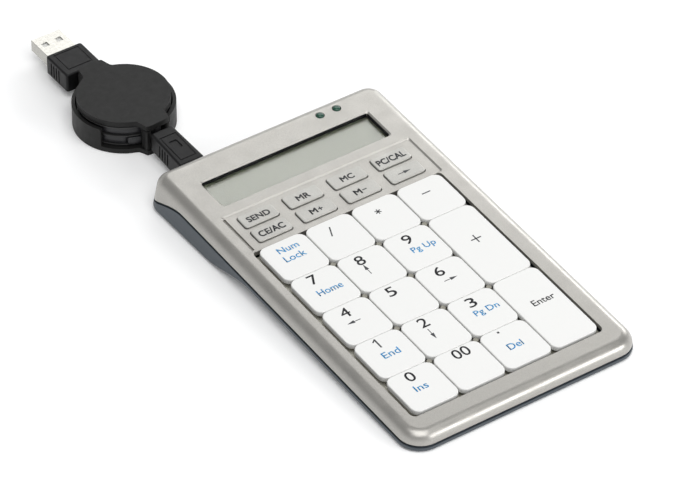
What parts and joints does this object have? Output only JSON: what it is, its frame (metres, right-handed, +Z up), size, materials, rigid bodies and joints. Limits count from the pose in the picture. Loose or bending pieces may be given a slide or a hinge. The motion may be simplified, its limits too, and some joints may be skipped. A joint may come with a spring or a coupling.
{
  "type": "numeric keypad",
  "caption": "Slim wedge-shaped numeric keypad with a calculator display, white keys, silver function keys and a retractable USB cable on a reel.",
  "frame": {"origin": "centre of the keypad's own bounding box in plan, without the cable and reel, at table height", "axes": "+Z up from the table, +Y to the rear edge with the port and display, +X to the right as a typist sees it"},
  "size_m": [0.0968, 0.2536, 0.0143],
  "materials": {
    "silver_shell": "satin silver lacquer on ABS, fine metal flake",
    "base_shell": "dark blue-grey moulded ABS, fine texture",
    "key_white": "white moulded keycap, satin, printed legends",
    "key_silver": "satin silver lacquer on plastic",
    "screw_steel": "zinc plated steel",
    "foot_rubber": "matt black rubber",
    "window_clear": "clear polished window",
    "display_glass": "grey-green reflective display",
    "board_green": "green solder mask",
    "chip_black": "black epoxy",
    "led_green": "clear dark green lens, unlit",
    "plate_steel": "pressed steel sheet",
    "membrane_film": "printed polyester film",
    "dome_rubber": "grey silicone rubber",
    "socket_metal": "folded tinned steel",
    "plug_metal": "nickel plated folded steel",
    "tongue_plastic": "white insulator",
    "plug_black": "black overmoulded PVC, satin",
    "reel_black": "matt black ABS",
    "spool_black": "black acetal",
    "spring_steel": "blued spring steel strip",
    "cable_black": "black flat PVC cable, slight gloss"
  },
  "bodies": {
    "case": {"top_case": "silver_shell", "bottom_case": "base_shell", "case_screw_rear_left": "screw_steel", "case_screw_rear_right": "screw_steel", "case_screw_front_left": "screw_steel", "case_screw_front_right": "screw_steel", "foot_rear_left": "foot_rubber", "foot_rear_right": "foot_rubber", "foot_front_left": "foot_rubber", "foot_front_right": "foot_rubber", "lcd_window": "window_clear", "lcd_panel": "display_glass", "main_board": "board_green", "controller_chip": "chip_black", "led_left": "led_green", "led_right": "led_green", "key_backplate": "plate_steel", "key_membrane": "membrane_film", "key_dome_sheet": "dome_rubber", "function_dome_sheet": "dome_rubber", "mini_usb_socket": "socket_metal"},
    "body_key_num_lock": {"key_num_lock": "key_white"},
    "body_key_divide": {"key_divide": "key_white"},
    "body_key_multiply": {"key_multiply": "key_white"},
    "body_key_minus": {"key_minus": "key_white"},
    "body_key_7": {"key_7": "key_white"},
    "body_key_8": {"key_8": "key_white"},
    "body_key_9": {"key_9": "key_white"},
    "body_key_plus": {"key_plus": "key_white"},
    "body_key_4": {"key_4": "key_white"},
    "body_key_5": {"key_5": "key_white"},
    "body_key_6": {"key_6": "key_white"},
    "body_key_1": {"key_1": "key_white"},
    "body_key_2": {"key_2": "key_white"},
    "body_key_3": {"key_3": "key_white"},
    "body_key_enter": {"key_enter": "key_white"},
    "body_key_0": {"key_0": "key_white"},
    "body_key_00": {"key_00": "key_white"},
    "body_key_point": {"key_point": "key_white"},
    "body_function_send": {"function_key_send": "key_silver"},
    "body_function_recall": {"function_key_recall": "key_silver"},
    "body_function_clear_memory": {"function_key_clear_memory": "key_silver"},
    "body_function_mode": {"function_key_mode": "key_silver"},
    "body_function_clear": {"function_key_clear": "key_silver"},
    "body_function_add_memory": {"function_key_add_memory": "key_silver"},
    "body_function_subtract": {"function_key_subtract": "key_silver"},
    "body_function_arrow": {"function_key_arrow": "key_silver"},
    "mini_plug": {"mini_b_overmould": "plug_black", "mini_b_shell": "plug_metal", "cable_stub_mini": "cable_black"},
    "reel": {"reel_top_shell": "reel_black", "reel_bottom_shell": "reel_black", "reel_power_spring": "spring_steel"},
    "spool": {"reel_spool": "spool_black", "cable_winding_mini": "cable_black", "cable_winding_usb": "cable_black"},
    "usb_plug": {"usb_a_overmould": "plug_black", "usb_a_shell": "plug_metal", "usb_a_tongue": "tongue_plastic", "cable_stub_usb": "cable_black"}
  },
  "joints": [
    {"name": "press_num_lock", "type": "slide", "parent": "case", "child": "body_key_num_lock", "axis": [0, 0.0436, -0.999], "range_m": [0, 0.002], "stiffness_N_per_m": 150, "springref_m": -0.002},
    {"name": "press_divide", "type": "slide", "parent": "case", "child": "body_key_divide", "axis": [0, 0.0436, -0.999], "range_m": [0, 0.002], "stiffness_N_per_m": 150, "springref_m": -0.002},
    {"name": "press_multiply", "type": "slide", "parent": "case", "child": "body_key_multiply", "axis": [0, 0.0436, -0.999], "range_m": [0, 0.002], "stiffness_N_per_m": 150, "springref_m": -0.002},
    {"name": "press_minus", "type": "slide", "parent": "case", "child": "body_key_minus", "axis": [0, 0.0436, -0.999], "range_m": [0, 0.002], "stiffness_N_per_m": 150, "springref_m": -0.002},
    {"name": "press_7", "type": "slide", "parent": "case", "child": "body_key_7", "axis": [0, 0.0436, -0.999], "range_m": [0, 0.002], "stiffness_N_per_m": 150, "springref_m": -0.002},
    {"name": "press_8", "type": "slide", "parent": "case", "child": "body_key_8", "axis": [0, 0.0436, -0.999], "range_m": [0, 0.002], "stiffness_N_per_m": 150, "springref_m": -0.002},
    {"name": "press_9", "type": "slide", "parent": "case", "child": "body_key_9", "axis": [0, 0.0436, -0.999], "range_m": [0, 0.002], "stiffness_N_per_m": 150, "springref_m": -0.002},
    {"name": "press_plus", "type": "slide", "parent": "case", "child": "body_key_plus", "axis": [0, 0.0436, -0.999], "range_m": [0, 0.002], "stiffness_N_per_m": 150, "springref_m": -0.002},
    {"name": "press_4", "type": "slide", "parent": "case", "child": "body_key_4", "axis": [0, 0.0436, -0.999], "range_m": [0, 0.002], "stiffness_N_per_m": 150, "springref_m": -0.002},
    {"name": "press_5", "type": "slide", "parent": "case", "child": "body_key_5", "axis": [0, 0.0436, -0.999], "range_m": [0, 0.002], "stiffness_N_per_m": 150, "springref_m": -0.002},
    {"name": "press_6", "type": "slide", "parent": "case", "child": "body_key_6", "axis": [0, 0.0436, -0.999], "range_m": [0, 0.002], "stiffness_N_per_m": 150, "springref_m": -0.002},
    {"name": "press_1", "type": "slide", "parent": "case", "child": "body_key_1", "axis": [0, 0.0436, -0.999], "range_m": [0, 0.002], "stiffness_N_per_m": 150, "springref_m": -0.002},
    {"name": "press_2", "type": "slide", "parent": "case", "child": "body_key_2", "axis": [0, 0.0436, -0.999], "range_m": [0, 0.002], "stiffness_N_per_m": 150, "springref_m": -0.002},
    {"name": "press_3", "type": "slide", "parent": "case", "child": "body_key_3", "axis": [0, 0.0436, -0.999], "range_m": [0, 0.002], "stiffness_N_per_m": 150, "springref_m": -0.002},
    {"name": "press_enter", "type": "slide", "parent": "case", "child": "body_key_enter", "axis": [0, 0.0436, -0.999], "range_m": [0, 0.002], "stiffness_N_per_m": 150, "springref_m": -0.002},
    {"name": "press_0", "type": "slide", "parent": "case", "child": "body_key_0", "axis": [0, 0.0436, -0.999], "range_m": [0, 0.002], "stiffness_N_per_m": 150, "springref_m": -0.002},
    {"name": "press_00", "type": "slide", "parent": "case", "child": "body_key_00", "axis": [0, 0.0436, -0.999], "range_m": [0, 0.002], "stiffness_N_per_m": 150, "springref_m": -0.002},
    {"name": "press_point", "type": "slide", "parent": "case", "child": "body_key_point", "axis": [0, 0.0436, -0.999], "range_m": [0, 0.002], "stiffness_N_per_m": 150, "springref_m": -0.002},
    {"name": "press_function_send", "type": "slide", "parent": "case", "child": "body_function_send", "axis": [0, 0.0436, -0.999], "range_m": [0, 0.0008], "stiffness_N_per_m": 400, "springref_m": -0.0015},
    {"name": "press_function_recall", "type": "slide", "parent": "case", "child": "body_function_recall", "axis": [0, 0.0436, -0.999], "range_m": [0, 0.0008], "stiffness_N_per_m": 400, "springref_m": -0.0015},
    {"name": "press_function_clear_memory", "type": "slide", "parent": "case", "child": "body_function_clear_memory", "axis": [0, 0.0436, -0.999], "range_m": [0, 0.0008], "stiffness_N_per_m": 400, "springref_m": -0.0015},
    {"name": "press_function_mode", "type": "slide", "parent": "case", "child": "body_function_mode", "axis": [0, 0.0436, -0.999], "range_m": [0, 0.0008], "stiffness_N_per_m": 400, "springref_m": -0.0015},
    {"name": "press_function_clear", "type": "slide", "parent": "case", "child": "body_function_clear", "axis": [0, 0.0436, -0.999], "range_m": [0, 0.0008], "stiffness_N_per_m": 400, "springref_m": -0.0015},
    {"name": "press_function_add_memory", "type": "slide", "parent": "case", "child": "body_function_add_memory", "axis": [0, 0.0436, -0.999], "range_m": [0, 0.0008], "stiffness_N_per_m": 400, "springref_m": -0.0015},
    {"name": "press_function_subtract", "type": "slide", "parent": "case", "child": "body_function_subtract", "axis": [0, 0.0436, -0.999], "range_m": [0, 0.0008], "stiffness_N_per_m": 400, "springref_m": -0.0015},
    {"name": "press_function_arrow", "type": "slide", "parent": "case", "child": "body_function_arrow", "axis": [0, 0.0436, -0.999], "range_m": [0, 0.0008], "stiffness_N_per_m": 400, "springref_m": -0.0015},
    {"name": "plug_pull_out", "type": "slide", "parent": "case", "child": "mini_plug", "axis": [0, 0.999, 0.0436], "range_m": [0, 0.03]},
    {"name": "reel_pay_out", "type": "slide", "parent": "mini_plug", "child": "reel", "axis": [0, 1, 0], "range_m": [0, 0.32]},
    {"name": "usb_pay_out", "type": "slide", "parent": "reel", "child": "usb_plug", "axis": [0, 1, 0], "range_m": [0, 0.32]},
    {"name": "spool_turn", "type": "hinge", "parent": "reel", "child": "spool", "pos_m": [-0.0298, 0.1243, 0.0066], "axis": [0, 0, 1], "range_deg": [0, 1292]}
  ],
  "couplings": [
    {"joint": "usb_pay_out", "follows": "reel_pay_out", "ratio": 1},
    {"joint": "spool_turn", "follows": "reel_pay_out", "rad_per_m": 70.423}
  ]
}
